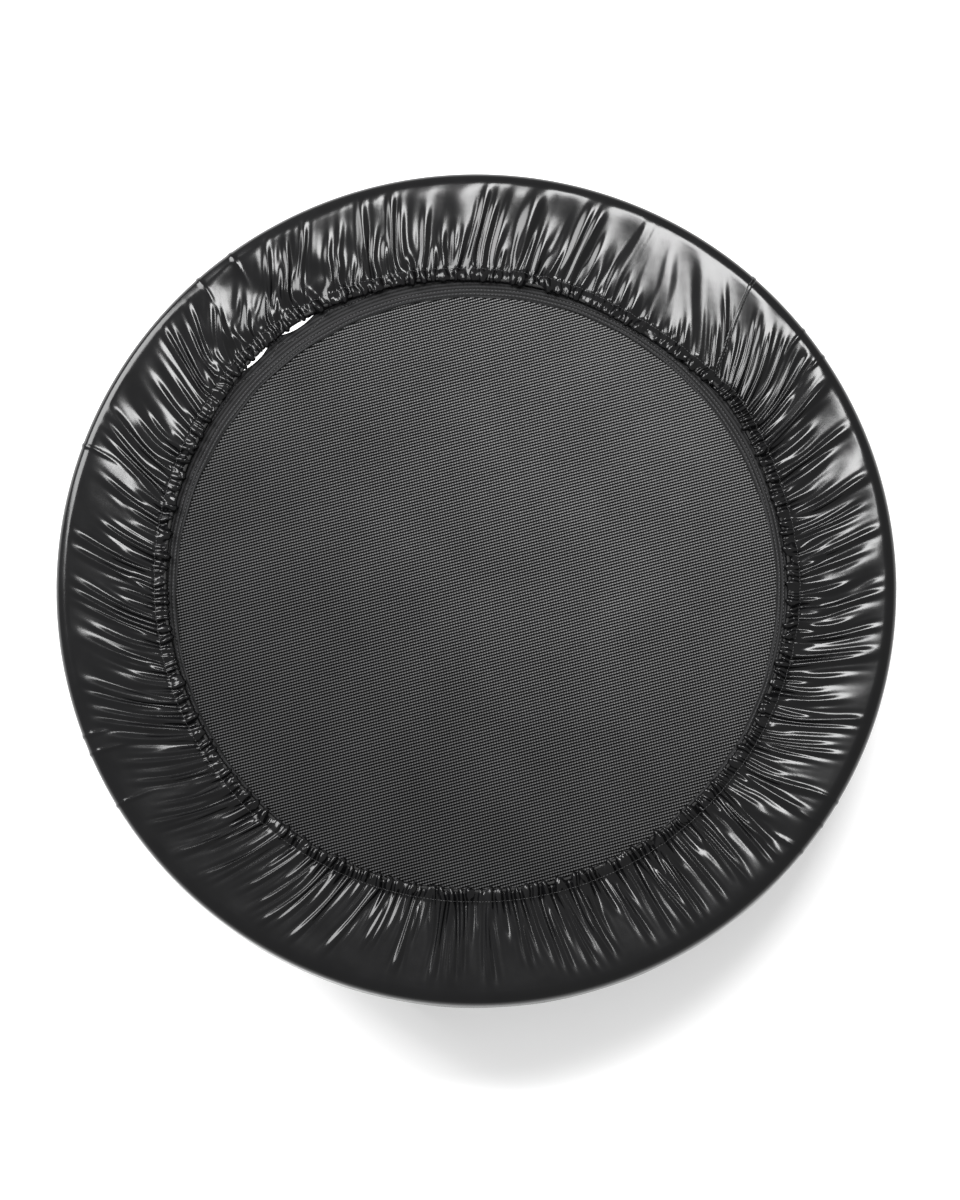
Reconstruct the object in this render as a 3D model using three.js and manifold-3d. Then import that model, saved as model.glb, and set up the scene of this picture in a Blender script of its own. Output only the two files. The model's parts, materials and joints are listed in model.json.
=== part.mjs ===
// A mini trampoline: a round steel frame on six screw-in legs, a woven mat held in it by coil springs,
// and a gathered vinyl cover over the springs. Millimetres, +Z up. The origin is on the floor, under the
// middle of the mat, and +Y is the side away from the user.

import * as THREE from 'three';
import { mergeVertices } from 'three/addons/utils/BufferGeometryUtils.js';
import Module from 'manifold-3d';

const wasm = await Module();
wasm.setup();

// Driving dimensions, in millimetres and degrees

const TOUCH_GAP = 0.3; // left between pieces that touch

const RING_RADIUS = 467; // centre of the frame tube
const TUBE_RADIUS = 12.7; // 25.4 mm steel tube
const TUBE_WALL = 1.2;
const RING_HEIGHT = 215; // centre of the frame tube above the floor

const LEG_COUNT = 6;
const FIRST_LEG_ANGLE = 20; // counter-clockwise from +X
const LEG_RADIUS = 12.5;
const LEG_WALL = 1.2;
const LEG_TOP = 187; // where the leg meets the boss under the frame tube

const BOSS_RADIUS = 8.5; // the welded boss that holds the stud
const STUD_RADIUS = 5; // M10
const STUD_LENGTH = 22;
const PLUG_FLANGE = 3; // thickness of the plug's rim on top of the leg tube
const PLUG_SPARE = 4; // the plug reaches this far past the end of the stud

const FOOT_RADIUS = 16; // the rubber foot
const FOOT_HEIGHT = 34;
const FOOT_SOLE = 6;
const FOOT_WORN_EDGE = 1.5; // rounding round the sole
const FOOT_MOUTH_WALL = 2; // rubber round the leg at the foot's top

const MAT_RADIUS = 372; // to the outer edge of its hem
const MAT_HEIGHT = 212; // middle of the mat above the floor
const MAT_THICKNESS = 2;
const HEM_WIDTH = 30;
const HEM_THICKNESS = 5;

const SPRING_COUNT = 32;
const COIL_RADIUS = 6.5;
const SPRING_WIRE_RADIUS = 1.5;
const LINK_LENGTH = 22; // the V-shaped link between the hem and the coil
const COIL_LENGTH = 52; // with the cone at each end
const COIL_CONE = 4;
const HOOK_HOLE_RADIUS = 3; // in the inner wall of the frame tube

const COVER_THICKNESS = 1.2;
const COVER_OUTER_RADIUS = 483.1;
const COVER_INNER_RADIUS = 354.9; // the gathered edge
const COVER_TUBE_CLEARANCE = 1.2;
const CASING_LIP = 6; // how far the sewn-back edge runs past the inner elastic
const CASING_STEPS = 4; // along the half turn of each casing
const COVER_MEETS_TUBE = 110; // degrees round the tube where the cover comes down onto it
const COVER_LEAVES_TUBE = 0;
const COVER_OVER_TUBE_STEPS = 5;
const COVER_LIFT = 0.7; // the gathered edge floats this far over the hem
const INNER_ELASTIC_RADIUS = 1.8;
const OUTER_ELASTIC_RADIUS = 1.6;
const ELASTIC_CLEARANCE = 0.7;
const OUTER_ELASTIC_HEIGHT = 196.2;

const RING_SEGMENTS = 64; // round the whole object
const TUBE_SEGMENTS = 12; // round the frame tube
const BORE_SEGMENTS = 8; // round the inside of the frame tube
const SMALL_SEGMENTS = 12; // round legs and feet
const SPRING_SEGMENTS = 6;
const ELASTIC_SEGMENTS = 5;

// Materials

function material(color, roughness, metalness) {
  return new THREE.MeshStandardMaterial({ color, roughness, metalness });
}

const painted = () => material(0x1b1b1c, 0.35, 0.6);
const zinc = () => material(0xb4b6b8, 0.35, 0.9);
const rubber = () => material(0x161616, 0.85, 0);
const plastic = () => material(0x202020, 0.55, 0);
const weave = () => material(0x303032, 0.75, 0);
const webbing = () => material(0x1a1a1b, 0.85, 0);
const vinyl = () => material(0x0d0d0e, 0.22, 0);
const elastic = () => material(0x141414, 0.9, 0);

// Geometry helpers

const radians = THREE.MathUtils.degToRad;

function polar(radius, degrees, height) {
  return new THREE.Vector3(
    radius * Math.cos(radians(degrees)),
    radius * Math.sin(radians(degrees)),
    height,
  );
}

// Turns a profile of [radius, height] points round the Z axis. The profile runs anticlockwise, so that
// the faces point out.
function turned(profile, segments) {
  const points = profile.map(([radius, height]) => new THREE.Vector2(radius, height));
  const geometry = new THREE.LatheGeometry(points, segments);
  geometry.rotateX(Math.PI / 2);
  geometry.deleteAttribute('normal');
  geometry.deleteAttribute('uv');
  return mergeVertices(geometry);
}

function closed(profile) {
  return [...profile, profile[0]];
}

function arc(centre, radius, fromDegrees, toDegrees, steps) {
  const points = [];
  for (let i = 0; i <= steps; i += 1) {
    const angle = radians(fromDegrees + ((toDegrees - fromDegrees) * i) / steps);
    points.push([centre[0] + radius * Math.cos(angle), centre[1] + radius * Math.sin(angle)]);
  }
  return points;
}

function torus(centre, radius, sides) {
  return turned(arc(centre, radius, 0, 360, sides), RING_SEGMENTS);
}

// The closed outline of a sheet that follows a path, half its thickness to each side
function sheetOutline(path, thickness) {
  const below = [];
  const above = [];
  for (let i = 0; i < path.length; i += 1) {
    const before = path[Math.max(i - 1, 0)];
    const after = path[Math.min(i + 1, path.length - 1)];
    const run = Math.hypot(after[0] - before[0], after[1] - before[1]);
    const acrossX = (-(after[1] - before[1]) / run) * (thickness / 2);
    const acrossY = ((after[0] - before[0]) / run) * (thickness / 2);
    above.push([path[i][0] + acrossX, path[i][1] + acrossY]);
    below.push([path[i][0] - acrossX, path[i][1] - acrossY]);
  }
  return closed([...below, ...above.reverse()]);
}

function solid(geometry) {
  const mesh = new wasm.Mesh({
    numProp: 3,
    vertProperties: new Float32Array(geometry.attributes.position.array),
    triVerts: new Uint32Array(geometry.index.array),
  });
  return new wasm.Manifold(mesh);
}

function surface(manifold) {
  const mesh = manifold.getMesh();
  const geometry = new THREE.BufferGeometry();
  geometry.setAttribute('position', new THREE.BufferAttribute(mesh.vertProperties, 3));
  geometry.setIndex(new THREE.BufferAttribute(mesh.triVerts, 1));
  return geometry;
}

function place(parent, name, geometry, finish) {
  geometry.computeVertexNormals();
  const mesh = new THREE.Mesh(geometry, finish);
  mesh.name = name;
  parent.add(mesh);
  return mesh;
}

function rod(radius, bottom, top, segments) {
  return turned([[0, bottom], [radius, bottom], [radius, top], [0, top]], segments);
}

// Frame: one hollow welded ring, with a boss and a stud under it for each leg and a hole in its inner
// wall for each spring hook

function frameRing() {
  const centre = [RING_RADIUS, RING_HEIGHT];
  const bossTop = RING_HEIGHT - TUBE_RADIUS / 2;
  const studTop = LEG_TOP + STUD_RADIUS;
  let ring = solid(torus(centre, TUBE_RADIUS, TUBE_SEGMENTS));
  for (let leg = 0; leg < LEG_COUNT; leg += 1) {
    const at = polar(RING_RADIUS, legAngle(leg), 0);
    const boss = rod(BOSS_RADIUS, LEG_TOP, bossTop, SMALL_SEGMENTS);
    boss.translate(at.x, at.y, 0);
    ring = ring.add(solid(boss));
  }
  ring = ring.subtract(solid(torus(centre, TUBE_RADIUS - TUBE_WALL, BORE_SEGMENTS)));
  for (let leg = 0; leg < LEG_COUNT; leg += 1) {
    const at = polar(RING_RADIUS, legAngle(leg), 0);
    const stud = rod(STUD_RADIUS, LEG_TOP - STUD_LENGTH, studTop, SMALL_SEGMENTS);
    stud.translate(at.x, at.y, 0);
    ring = ring.add(solid(stud));
  }
  for (let spring = 0; spring < SPRING_COUNT; spring += 1) {
    const hole = rod(HOOK_HOLE_RADIUS, 0, 2 * TUBE_RADIUS, SPRING_SEGMENTS);
    hole.rotateY(Math.PI / 2);
    hole.translate(RING_RADIUS - 2 * TUBE_RADIUS, 0, RING_HEIGHT);
    hole.rotateZ(radians(springAngle(spring)));
    ring = ring.subtract(solid(hole));
  }
  return surface(ring);
}

function legAngle(leg) {
  return FIRST_LEG_ANGLE + (leg * 360) / LEG_COUNT;
}

function springAngle(spring) {
  return ((spring + 0.5) * 360) / SPRING_COUNT;
}

// Legs: a steel tube, a threaded plug in its top that takes the stud, and a rubber foot

function legTube() {
  const bottom = FOOT_SOLE + TOUCH_GAP;
  const top = plugFlangeBottom() - TOUCH_GAP;
  const inner = LEG_RADIUS - LEG_WALL;
  const profile = [[inner, bottom], [LEG_RADIUS, bottom], [LEG_RADIUS, top], [inner, top]];
  return turned(closed(profile), SMALL_SEGMENTS);
}

function plugFlangeBottom() {
  return LEG_TOP - TOUCH_GAP - PLUG_FLANGE;
}

function legPlug() {
  const bore = STUD_RADIUS + TOUCH_GAP;
  const body = LEG_RADIUS - LEG_WALL - TOUCH_GAP;
  const bottom = LEG_TOP - STUD_LENGTH - PLUG_SPARE;
  const shoulder = plugFlangeBottom();
  const top = LEG_TOP - TOUCH_GAP;
  const profile = [
    [bore, bottom],
    [body, bottom],
    [body, shoulder],
    [LEG_RADIUS, shoulder],
    [LEG_RADIUS, top],
    [bore, top],
  ];
  return turned(closed(profile), SMALL_SEGMENTS);
}

function legFoot() {
  const bore = LEG_RADIUS + TOUCH_GAP;
  const mouth = bore + FOOT_MOUTH_WALL;
  const profile = [
    [0, 0],
    [FOOT_RADIUS - FOOT_WORN_EDGE, 0],
    [FOOT_RADIUS, FOOT_WORN_EDGE],
    [FOOT_RADIUS, FOOT_SOLE],
    [mouth, FOOT_HEIGHT],
    [bore, FOOT_HEIGHT],
    [bore, FOOT_SOLE],
    [0, FOOT_SOLE],
  ];
  return turned(profile, SMALL_SEGMENTS);
}

// Mat: a woven disc in a folded webbing hem

function mat() {
  const edge = MAT_RADIUS - HEM_THICKNESS / 2;
  return rod(edge, MAT_HEIGHT - MAT_THICKNESS / 2, MAT_HEIGHT + MAT_THICKNESS / 2, RING_SEGMENTS);
}

function matHem() {
  const fold = MAT_RADIUS - HEM_THICKNESS / 2 + TOUCH_GAP;
  const inner = MAT_RADIUS - HEM_WIDTH;
  const slot = MAT_THICKNESS / 2 + TOUCH_GAP;
  const half = HEM_THICKNESS / 2;
  const profile = [
    [inner, -half],
    [MAT_RADIUS, -half],
    [MAT_RADIUS, half],
    [inner, half],
    [inner, slot],
    [fold, slot],
    [fold, -slot],
    [inner, -slot],
  ];
  const raised = profile.map(([radius, height]) => [radius, MAT_HEIGHT + height]);
  return turned(closed(raised), RING_SEGMENTS);
}

// A spring lies along +Z here, from its link at the hem to its hook inside the frame tube. Its coil is
// the closed outer shape of the real windings.

function springEnds() {
  const from = new THREE.Vector2(MAT_RADIUS + TOUCH_GAP, MAT_HEIGHT);
  const to = new THREE.Vector2(RING_RADIUS - TUBE_RADIUS / 2, RING_HEIGHT);
  return { from, to };
}

function spring() {
  const { from, to } = springEnds();
  const length = from.distanceTo(to);
  const coilEnd = LINK_LENGTH + COIL_LENGTH;
  const profile = [
    [0, 0],
    [SPRING_WIRE_RADIUS, 0],
    [SPRING_WIRE_RADIUS, LINK_LENGTH],
    [COIL_RADIUS, LINK_LENGTH + COIL_CONE],
    [COIL_RADIUS, coilEnd - COIL_CONE],
    [SPRING_WIRE_RADIUS, coilEnd],
    [SPRING_WIRE_RADIUS, length],
    [0, length],
  ];
  return turned(profile, SPRING_SEGMENTS);
}

// Cover: one vinyl sheet from the gathered edge over the mat's hem, across the springs, over the tube
// and down to the edge under the tube. Each edge is sewn back round an elastic.

function innerElasticCentre() {
  const reach = INNER_ELASTIC_RADIUS + ELASTIC_CLEARANCE + COVER_THICKNESS;
  const hemTop = MAT_HEIGHT + HEM_THICKNESS / 2;
  return [COVER_INNER_RADIUS + reach, hemTop + COVER_LIFT + reach];
}

function outerElasticCentre() {
  const reach = OUTER_ELASTIC_RADIUS + ELASTIC_CLEARANCE + COVER_THICKNESS;
  return [COVER_OUTER_RADIUS - reach, OUTER_ELASTIC_HEIGHT];
}

function coverPath() {
  const inner = innerElasticCentre();
  const innerRadius = INNER_ELASTIC_RADIUS + ELASTIC_CLEARANCE + COVER_THICKNESS / 2;
  const outer = outerElasticCentre();
  const outerRadius = OUTER_ELASTIC_RADIUS + ELASTIC_CLEARANCE + COVER_THICKNESS / 2;
  const tube = [RING_RADIUS, RING_HEIGHT];
  const overTube = TUBE_RADIUS + COVER_TUBE_CLEARANCE + COVER_THICKNESS / 2;
  return [
    [inner[0] + CASING_LIP, inner[1] - innerRadius],
    ...arc(inner, innerRadius, 270, 90, CASING_STEPS),
    ...arc(tube, overTube, COVER_MEETS_TUBE, COVER_LEAVES_TUBE, COVER_OVER_TUBE_STEPS),
    ...arc(outer, outerRadius, 0, -180, CASING_STEPS),
    [outer[0] - outerRadius, outer[1] + outerRadius],
  ];
}

function cover() {
  return turned(sheetOutline(coverPath(), COVER_THICKNESS), RING_SEGMENTS);
}

// The assembly

const trampoline = new THREE.Group();

function buildFrame() {
  place(trampoline, 'frame_ring', frameRing(), painted());
}

function buildLegs() {
  for (let leg = 0; leg < LEG_COUNT; leg += 1) {
    const group = new THREE.Group();
    group.position.copy(polar(RING_RADIUS, legAngle(leg), 0));
    place(group, `leg_tube_${leg + 1}`, legTube(), painted());
    place(group, `leg_plug_${leg + 1}`, legPlug(), plastic());
    place(group, `leg_foot_${leg + 1}`, legFoot(), rubber());
    trampoline.add(group);
  }
}

function buildMat() {
  place(trampoline, 'mat', mat(), weave());
  place(trampoline, 'mat_hem', matHem(), webbing());
}

function buildSprings() {
  const { from, to } = springEnds();
  const rise = Math.atan2(to.y - from.y, to.x - from.x);
  for (let index = 0; index < SPRING_COUNT; index += 1) {
    const group = new THREE.Group();
    group.rotation.z = radians(springAngle(index));
    const name = `spring_${String(index + 1).padStart(2, '0')}`;
    const mesh = place(group, name, spring(), zinc());
    mesh.position.set(from.x, 0, from.y);
    mesh.rotation.y = Math.PI / 2 - rise;
    trampoline.add(group);
  }
}

function buildCover() {
  place(trampoline, 'cover', cover(), vinyl());
  const inner = torus(innerElasticCentre(), INNER_ELASTIC_RADIUS, ELASTIC_SEGMENTS);
  place(trampoline, 'inner_elastic', inner, elastic());
  const outer = torus(outerElasticCentre(), OUTER_ELASTIC_RADIUS, ELASTIC_SEGMENTS);
  place(trampoline, 'outer_elastic', outer, elastic());
}

buildFrame();
buildLegs();
buildMat();
buildSprings();
buildCover();

export default trampoline;
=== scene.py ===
"""A mini trampoline: its visual model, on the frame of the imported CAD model. Metres, +Z up."""

import json
import math

import bmesh
import bpy
import numpy as np
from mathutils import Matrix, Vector

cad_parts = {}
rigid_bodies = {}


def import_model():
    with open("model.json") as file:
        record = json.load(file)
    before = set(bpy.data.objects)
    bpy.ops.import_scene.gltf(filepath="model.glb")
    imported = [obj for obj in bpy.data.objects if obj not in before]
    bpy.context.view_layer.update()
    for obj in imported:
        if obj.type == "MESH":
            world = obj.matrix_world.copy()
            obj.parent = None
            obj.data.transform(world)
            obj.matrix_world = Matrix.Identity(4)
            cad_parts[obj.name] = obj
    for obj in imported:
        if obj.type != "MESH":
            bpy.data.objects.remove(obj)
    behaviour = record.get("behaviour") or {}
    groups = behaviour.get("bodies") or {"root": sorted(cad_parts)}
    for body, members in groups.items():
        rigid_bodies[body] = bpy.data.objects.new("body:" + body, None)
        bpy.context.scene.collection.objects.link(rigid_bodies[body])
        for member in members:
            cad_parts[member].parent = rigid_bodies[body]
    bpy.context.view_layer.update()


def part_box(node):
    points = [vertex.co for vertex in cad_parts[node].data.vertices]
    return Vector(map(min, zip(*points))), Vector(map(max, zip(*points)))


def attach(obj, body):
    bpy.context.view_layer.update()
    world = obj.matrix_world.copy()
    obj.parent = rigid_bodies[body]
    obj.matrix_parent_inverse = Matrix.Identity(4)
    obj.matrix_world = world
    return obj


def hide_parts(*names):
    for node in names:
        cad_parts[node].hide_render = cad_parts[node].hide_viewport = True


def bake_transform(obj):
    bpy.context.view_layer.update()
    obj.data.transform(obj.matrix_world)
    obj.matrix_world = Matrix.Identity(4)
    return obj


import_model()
for leftover in [o for o in bpy.data.objects if o.name in ("Cube", "Light", "Camera")]:
    bpy.data.objects.remove(leftover)


# Sizes. Places come from the boxes of the CAD nodes, and stock sizes are those of the real parts.

MM = 0.001
TUBE_RADIUS = 12.7 * MM
ring_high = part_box("frame_ring")[1]
RING_RADIUS = ring_high.x - TUBE_RADIUS
RING_HEIGHT = ring_high.z - TUBE_RADIUS
mat_low, mat_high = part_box("mat")
MAT_HEIGHT = (mat_low.z + mat_high.z) / 2
HEM_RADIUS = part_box("mat_hem")[1].x
elastic_low, elastic_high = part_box("inner_elastic")
GATHER_RADIUS = elastic_high.x - 1.8 * MM
GATHER_HEIGHT = (elastic_low.z + elastic_high.z) / 2
rim_low, rim_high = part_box("outer_elastic")
RIM_RADIUS = rim_high.x - 1.6 * MM
RIM_HEIGHT = (rim_low.z + rim_high.z) / 2
LEGS = 6
SPRINGS = 32

SPRING_STEP = 360 / SPRINGS
HOOK_RADIUS = RING_RADIUS - TUBE_RADIUS

STRIP = 3.00  # the cover's flat length round the ring
COLUMNS = 1920  # steps along it
RUFFLES = 260  # folds that rise from the gathered edge
TUCKS = 440  # small tucks of the casing


# Helpers

def polar(radius, degrees, height):
    turn = math.radians(degrees)
    return Vector((radius * math.cos(turn), radius * math.sin(turn), height))


def ease(value, start, end):
    t = np.clip((value - start) / (end - start), 0, 1)
    return t * t * (3 - 2 * t)


def round_table(pairs, degrees):
    """Reads a table of (bearing, value) pairs that goes on round the ring."""
    bearings, values = np.array(pairs, float).T
    return np.interp(degrees, bearings, values, period=360)


def mesh_object(name, points, faces, coat, uv=None):
    mesh = bpy.data.meshes.new(name)
    mesh.from_pydata(np.asarray(points, float).reshape(-1, 3).tolist(), [], faces)
    if uv is not None:
        corner = np.zeros(len(mesh.loops), np.int32)
        mesh.loops.foreach_get("vertex_index", corner)
        layer = mesh.uv_layers.new(name="UVMap")
        layer.data.foreach_set("uv", np.asarray(uv, float).reshape(-1, 2)[corner].ravel())
    mesh.polygons.foreach_set("use_smooth", [True] * len(mesh.polygons))
    mesh.update()
    obj = bpy.data.objects.new(name, mesh)
    bpy.context.scene.collection.objects.link(obj)
    obj.data.materials.append(coat)
    return obj


def grid_faces(rows, columns, ring=True, flip=False, torus=False):
    """Quads of a grid of points; ring closes each row, flip turns the quads over, and torus joins the
    last row to the first."""
    index = np.arange(rows * columns).reshape(rows, columns)
    if torus:
        index = np.concatenate([index, index[:1]])
    if ring:
        index = np.concatenate([index, index[:, :1]], axis=1)
    a, b = index[:-1, :-1], index[:-1, 1:]
    c, d = index[1:, 1:], index[1:, :-1]
    order = [d, c, b, a] if flip else [a, b, c, d]
    return np.stack(order, -1).reshape(-1, 4).tolist()


def round_path(radius, turn, height):
    """Points at these radii, turns in radians and heights about the Z axis."""
    return np.stack([radius * np.cos(turn), radius * np.sin(turn), 0 * radius * turn + height], -1)


def arc(centre, radii, degrees):
    """Points of a circle or an ellipse, as (x, y) pairs."""
    wide, tall = np.broadcast_to(radii, 2)
    turn = np.radians(degrees)
    return np.stack([centre[0] + wide * np.cos(turn), centre[1] + tall * np.sin(turn)], 1)


def read_along(at, along, line):
    """The points of a line at these distances along it."""
    return np.stack([np.interp(at, along, axis) for axis in line.T], 1)


def lathe(profile, segments=64):
    """Points and faces of a profile of (radius, height) turned round Z."""
    radius, height = np.array(profile, float).T[..., None]
    turn = np.arange(segments) * 2 * math.pi / segments
    return round_path(radius, turn, height).reshape(-1, 3), grid_faces(len(profile), segments)


def tube_along(path, radius, sides=8, ring=False):
    """Points and faces of a round tube along a path; ring joins its ends."""
    path = np.asarray(path, float)
    count = len(path)
    if ring:
        ahead = np.roll(path, -1, 0) - np.roll(path, 1, 0)
    else:
        ahead = np.gradient(path, axis=0)
    ahead /= np.linalg.norm(ahead, axis=1)[:, None]
    side = np.cross(ahead[0], [0.0, 0.0, 1.0])
    if np.linalg.norm(side) < 0.1:
        side = np.cross(ahead[0], [1.0, 0.0, 0.0])
    across = np.zeros_like(ahead)
    for k, direction in enumerate(ahead):
        side = side - direction * side.dot(direction)
        side = side / np.linalg.norm(side)
        across[k] = side
    up = np.cross(ahead, across)
    turn = np.arange(sides) * 2 * math.pi / sides
    reach = np.broadcast_to(np.asarray(radius, float), (count,))[:, None, None]
    circle = across[:, None] * np.cos(turn)[:, None] + up[:, None] * np.sin(turn)[:, None]
    points = path[:, None] + circle * reach
    faces = grid_faces(count, sides, torus=ring)
    if not ring:
        faces.append(list(range(sides))[::-1])
        faces.append(list(range((count - 1) * sides, count * sides)))
    return points.reshape(-1, 3), faces


def merged(parts):
    """Several (points, faces) as one."""
    points = []
    faces = []
    first = 0
    for some_points, some_faces in parts:
        points.append(some_points)
        faces.extend([[first + i for i in face] for face in some_faces])
        first += len(some_points)
    return np.concatenate(points), faces


def moved(part, offset):
    points, faces = part
    return points + np.asarray(offset, float), faces


def turned(part, degrees):
    points, faces = part
    turn = math.radians(degrees)
    cos, sin = math.cos(turn), math.sin(turn)
    matrix = np.array([[cos, sin, 0], [-sin, cos, 0], [0, 0, 1]])
    return points @ matrix, faces


def placed(piece, body, node=None):
    """Puts the piece on the body that it rides, and hides the CAD node that it stands for."""
    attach(piece, body)
    if node is not None:
        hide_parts(node)
    return piece


def blend_out(obj):
    """Bakes the piece's place into its mesh."""
    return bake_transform(obj)


def joined(objects, name):
    """Wedges become one piece, with the points on their borders merged."""
    bpy.ops.object.select_all(action="DESELECT")
    for obj in objects:
        obj.select_set(True)
    bpy.context.view_layer.objects.active = objects[0]
    bpy.ops.object.join()
    whole = objects[0]
    whole.name = name
    whole.data.name = name
    shape = bmesh.new()
    shape.from_mesh(whole.data)
    bmesh.ops.remove_doubles(shape, verts=shape.verts, dist=0.00002)
    shape.to_mesh(whole.data)
    shape.free()
    return whole


# Materials

DUST_HEIGHT = 0.012  # how far up the feet the dust reaches


def add(near, kind, values=None, **settings):
    """A new node in the tree that holds the given node or socket."""
    node = near.id_data.nodes.new(kind)
    for key, value in settings.items():
        setattr(node, key, value)
    for key, value in (values or {}).items():
        node.inputs[key].default_value = value
    return node


def connect(source, node, socket):
    source.id_data.links.new(source, node.inputs[socket])


def finish(name, colour, roughness, coords="Object", metallic=0.0, specular=0.5):
    """A material, its shader and the coordinates that its textures use."""
    material = bpy.data.materials.new(name)
    material.use_nodes = True
    shader = material.node_tree.nodes["Principled BSDF"]
    shader.inputs["Base Color"].default_value = (*colour, 1)
    shader.inputs["Roughness"].default_value = roughness
    shader.inputs["Metallic"].default_value = metallic
    shader.inputs["Specular IOR Level"].default_value = specular
    return material, shader, add(shader, "ShaderNodeTexCoord").outputs[coords]


def noise(place, scale, detail=3.0):
    node = add(place, "ShaderNodeTexNoise", {"Scale": scale, "Detail": detail, "Roughness": 0.55})
    connect(place, node, "Vector")
    return node.outputs["Fac"]


def bands(place, period, degrees, distortion=0.0):
    """A sine across bands of this period, turned by degrees in the UV plane."""
    mapping = add(place, "ShaderNodeMapping", {"Rotation": (0, 0, math.radians(degrees))})
    connect(place, mapping, "Vector")
    values = {"Scale": 2 * math.pi / (20 * period), "Distortion": distortion, "Detail": 1.0}
    wave = add(place, "ShaderNodeTexWave", values, wave_type="BANDS", bands_direction="X")
    connect(mapping.outputs["Vector"], wave, "Vector")
    return wave.outputs["Fac"]


def spread(factor, low, high):
    """A factor, which runs from 0 to 1, spread from low to high."""
    node = add(factor, "ShaderNodeMapRange", {"To Min": low, "To Max": high})
    connect(factor, node, "Value")
    return node.outputs["Result"]


def times(a, b):
    node = add(a, "ShaderNodeMath", operation="MULTIPLY")
    connect(a, node, 0)
    if isinstance(b, float):
        node.inputs[1].default_value = b
    else:
        connect(b, node, 1)
    return node.outputs[0]


def plus(a, b):
    node = add(a, "ShaderNodeMath", operation="ADD")
    connect(a, node, 0)
    connect(b, node, 1)
    return node.outputs[0]


def grey(level, blue=None):
    return level, level, level if blue is None else blue


def tint(shader, factor, dark, light, start=0.0, end=1.0):
    """Colours the shader from dark to light along a texture."""
    ramp = add(factor, "ShaderNodeValToRGB")
    low, high = ramp.color_ramp.elements
    low.position, high.position = start, end
    low.color = (*dark, 1)
    high.color = (*light, 1)
    connect(factor, ramp, "Fac")
    connect(ramp.outputs["Color"], shader, "Base Color")


def relief(shader, height, distance, strength, under=None):
    bump = add(height, "ShaderNodeBump", {"Strength": strength, "Distance": distance})
    connect(height, bump, "Height")
    if under is not None:
        connect(under, bump, "Normal")
    connect(bump.outputs["Normal"], shader, "Normal")
    return bump.outputs["Normal"]


def mottled(name, colour, roughness, spots, gloss=None, tones=None, grain=None, **settings):
    """A finish whose roughness and colour follow one noise, under a fine grain."""
    material, shader, place = finish(name, colour, roughness, **settings)
    patches = noise(place, *spots)
    if gloss is not None:
        connect(spread(patches, *gloss), shader, "Roughness")
    if tones is not None:
        tint(shader, patches, *tones)
    if grain is not None:
        scale, detail, depth, strength = grain
        relief(shader, noise(place, scale, detail), depth, strength)
    return material


def vinyl_finish():
    """Glossy black vinyl: a fine embossed grain, rubbed and duller in patches."""
    material, shader, place = finish("cover_vinyl", grey(0.006, 0.0065), 0.2, specular=0.21)
    patches = noise(place, 26, 4)
    connect(spread(patches, 0.12, 0.23), shader, "Roughness")
    tint(shader, patches, grey(0.0013, 0.0015), grey(0.0036, 0.0039))
    soft = relief(shader, noise(place, 45, 2), 0.0004, 0.25)
    relief(shader, noise(place, 2600, 1), 0.00003, 0.2, soft)
    return material


def weave_finish():
    """Woven polypropylene yarns, with a twill that runs down to the right."""
    material, shader, place = finish("mat_weave", grey(0.02), 0.34, "UV", specular=0.25)
    ribs = bands(place, 3.3 * MM, 74, 0.25)
    yarns = bands(place, 3.0 * MM, -8, 0.25)
    cells = plus(times(times(ribs, yarns), 0.5), times(ribs, 0.4))
    mixed = times(cells, spread(noise(place, 9, 4), 0.8, 1.2))
    mixed = times(mixed, spread(noise(place, 1500, 2), 0.7, 1.3))
    tint(shader, mixed, grey(0.001), grey(0.026, 0.027), 0.2, 0.75)
    connect(spread(mixed, -0.08, 0.54), shader, "Specular IOR Level")
    relief(shader, cells, 0.0005, 0.33)
    return material


def webbing_finish():
    """Flat webbing with ribs along it and fine yarns across."""
    material, shader, place = finish("hem_webbing", grey(0.016, 0.017), 0.75, "UV", specular=0.12)
    along = bands(place, 4.2 * MM, 90, 0.1)
    across = bands(place, 1.7 * MM, 0, 0.3)
    woven = plus(times(along, 0.55), times(across, 0.45))
    mixed = times(woven, spread(noise(place, 900, 3), 0.6, 1.4))
    tint(shader, mixed, grey(0.001), grey(0.022, 0.023), 0.2, 0.9)
    relief(shader, woven, 0.0006, 0.7)
    return material


def rubber_finish():
    """Moulded rubber, paler with dust towards the sole."""
    material, shader, place = finish("foot_rubber", grey(0.014), 0.8, specular=0.3)
    height = add(place, "ShaderNodeSeparateXYZ")
    connect(place, height, "Vector")
    near_floor = add(place, "ShaderNodeMapRange", {"From Min": DUST_HEIGHT, "From Max": 0.0})
    connect(height.outputs["Z"], near_floor, "Value")
    dust = times(near_floor.outputs["Result"], noise(place, 160, 4))
    tint(shader, dust, grey(0.011), (0.085, 0.080, 0.072))
    relief(shader, noise(place, 1300, 3), 0.0001, 0.6)
    return material


def elastic_finish():
    """Braided cover of the elastic cord."""
    material, shader, place = finish("elastic", grey(0.02), 0.85, "UV", specular=0.2)
    braid = times(bands(place, 1.4 * MM, 40), bands(place, 1.4 * MM, -40))
    tint(shader, braid, grey(0.008), grey(0.035))
    relief(shader, braid, 0.0003, 0.7)
    return material


def floor_finish():
    """Pale matt ground that gives off a little light of its own."""
    material = mottled("floor", grey(0.86), 0.7, (3, 3), tones=(grey(0.84), grey(0.88)), specular=0.2)
    shader = material.node_tree.nodes["Principled BSDF"]
    shader.inputs["Emission Color"].default_value = (1, 1, 1, 1)
    shader.inputs["Emission Strength"].default_value = 0.2
    return material


VINYL = vinyl_finish()
WEAVE = weave_finish()
WEBBING = webbing_finish()
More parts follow.
